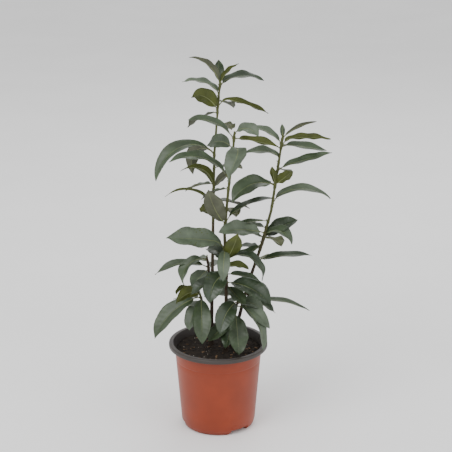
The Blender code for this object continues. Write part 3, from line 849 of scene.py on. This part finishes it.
def soil(earth, crumb, bark_bit, pale_bit):
    """Soil with a crumbled surface, and bits of bark and chaff on it."""
    shape = Shape()
    edge = inside_radius(SOIL_TOP) - 0.04
    rows = []
    low = FLOOR_Z + 0.05
    for height in (low, 6.0, 10.0, 12.8):
        radius = inside_radius(height) - 0.04
        rows.append([
            Vector((
                radius * math.cos(2 * math.pi * side / SOIL_SIDES),
                radius * math.sin(2 * math.pi * side / SOIL_SIDES), height,
            ))
            for side in range(SOIL_SIDES)
        ])
    for ring in range(SOIL_RINGS):
        radius = edge * (1 - ring / SOIL_RINGS)
        row = []
        for side in range(SOIL_SIDES):
            angle = 2 * math.pi * side / SOIL_SIDES
            x, y = radius * math.cos(angle), radius * math.sin(angle)
            row.append(Vector((x, y, soil_height(x, y))))
        rows.append(row)
    start = shape.grid(rows, 0, closed=True)
    last = start + (len(rows) - 1) * SOIL_SIDES
    for ring, height, up in ((start, low, False), (last, soil_height(0, 0), True)):
        middle = len(shape.points)
        shape.points.append(Vector((0.0, 0.0, height)))
        for side in range(SOIL_SIDES):
            here, there = ring + side, ring + (side + 1) % SOIL_SIDES
            shape.faces.append((middle, here, there) if up else (middle, there, here))
            shape.tones.append(0)
    surface = shape.build("soil_surface", [earth])
    bits = Shape()
    chance = random.Random(21)
    for count, low_size, high_size, tone in (
        (CRUMBS, 0.05, 0.16, 0), (BARK_BITS, 0.25, 0.75, 1), (PALE_BITS, 0.06, 0.16, 2),
    ):
        for _ in range(count):
            radius = edge * 0.97 * math.sqrt(chance.random())
            angle = chance.uniform(0, 2 * math.pi)
            x, y = radius * math.cos(angle), radius * math.sin(angle)
            size = chance.uniform(low_size, high_size)
            add_bit(bits, Vector((x, y, soil_height(x, y))), size, tone, chance)
    scattered = bits.build("soil_bits", [crumb, bark_bit, pale_bit], smooth=False)
    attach(surface, "root")
    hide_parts("soil")
    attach(scattered, "root")


def add_bit(shape, spot, size, tone, chance):
    """An uneven six-sided crumb, or a thin chip for bark."""
    flat = 0.25 if tone == 1 else 0.7
    narrow = chance.uniform(0.25, 0.5) if tone == 1 else chance.uniform(0.7, 1.0)
    turn = chance.uniform(0, math.pi)
    tilt = chance.uniform(-0.3, 0.3)
    corners = []
    for x, y, z in (
        (-1, -0.6, -1), (1, -1, -1), (1, 0.8, -1), (-0.8, 1, -1),
        (-0.8, -0.8, 1), (0.8, -0.6, 1), (0.9, 1, 1), (-1, 0.7, 1),
    ):
        jitter = chance.uniform(0.7, 1.1)
        px = x * size / 2 * jitter
        py = y * size / 2 * narrow * jitter
        pz = z * size / 2 * flat * min(1.0, 0.3 / size)
        rx = px * math.cos(turn) - py * math.sin(turn)
        ry = px * math.sin(turn) + py * math.cos(turn)
        corners.append(spot + Vector((rx, ry, pz + tilt * px + size * 0.08)))
    start = len(shape.points)
    shape.points += corners
    for face in ((3, 2, 1, 0), (4, 5, 6, 7), (0, 1, 5, 4), (1, 2, 6, 5), (2, 3, 7, 6), (3, 0, 4, 7)):
        shape.faces.append(tuple(start + corner for corner in face))
        shape.tones.append(tone)


# Studio

def studio():
    """Pale floor, white world, soft light, and the camera at the photograph's angle."""
    world = bpy.data.worlds.new("studio")
    world.use_nodes = True
    world.node_tree.nodes["Background"].inputs["Color"].default_value = (1.0, 1.0, 1.0, 1.0)
    world.node_tree.nodes["Background"].inputs["Strength"].default_value = 1.0
    bpy.context.scene.world = world
    made, tree, shader = principled("floor", 0.9, 0.2)
    paper = noise_node(tree, 3.0, 2.0)
    ramp = ramp_node(tree, paper.outputs["Fac"], ((0.3, (0.90, 0.90, 0.90)), (0.7, (0.93, 0.93, 0.93))))
    tree.links.new(ramp.outputs["Color"], shader.inputs["Base Color"])
    mesh = bpy.data.meshes.new("floor")
    mesh.from_pydata([(-6, -6, 0), (6, -6, 0), (6, 6, 0), (-6, 6, 0)], [], [(0, 1, 2, 3)])
    mesh.materials.append(made)
    floor = bpy.data.objects.new("floor", mesh)
    bpy.context.scene.collection.objects.link(floor)
    for name, place, size, power in (
        ("key", (-1.4, -1.6, 2.2), 1.6, 45.0), ("fill", (1.8, -1.2, 1.4), 1.8, 16.0),
        ("back", (0.4, 1.8, 2.0), 1.4, 16.0),
    ):
        light = bpy.data.lights.new(name, "AREA")
        light.size = size
        light.energy = power
        lamp = bpy.data.objects.new(name, light)
        lamp.location = place
        lamp.rotation_euler = (Vector((0, 0, 0.3)) - Vector(place)).to_track_quat("-Z", "Y").to_euler()
        bpy.context.scene.collection.objects.link(lamp)
    camera = bpy.data.cameras.new("camera")
    camera.sensor_width = SENSOR_WIDTH
    camera.lens = CAMERA_LENS
    camera.clip_end = 30.0
    seen = bpy.data.objects.new("camera", camera)
    seen.location = CAMERA_PLACE
    seen.rotation_euler = (math.radians(90 - CAMERA_PITCH), 0.0, 0.0)
    bpy.context.scene.collection.objects.link(seen)
    bpy.context.scene.camera = seen


studio()
leaf_materials = [leaf_material(*tone) for tone in LEAF_TONES]
brown, olive = (0.035, 0.020, 0.010), (0.055, 0.060, 0.018)
plant(leaf_materials, bark_material("young_bark", brown, olive, 20.0, 42.0))
wood(bark_material("old_bark", brown, (0.050, 0.040, 0.018), 14.0, 40.0))
pot(
    plastic_material("pot_outside", (0.23, 0.030, 0.006), 0.42),
    plastic_material("pot_rim", (0.040, 0.032, 0.028), 0.45),
)
soil(
    earth_material("soil_earth", (0.008, 0.006, 0.005), (0.030, 0.022, 0.016), 160.0),
    earth_material("soil_crumb", (0.010, 0.007, 0.005), (0.040, 0.028, 0.020), 200.0),
    earth_material("soil_bark", (0.10, 0.055, 0.028), (0.22, 0.14, 0.08), 120.0),
    earth_material("soil_pale", (0.35, 0.32, 0.26), (0.60, 0.57, 0.50), 120.0),
)
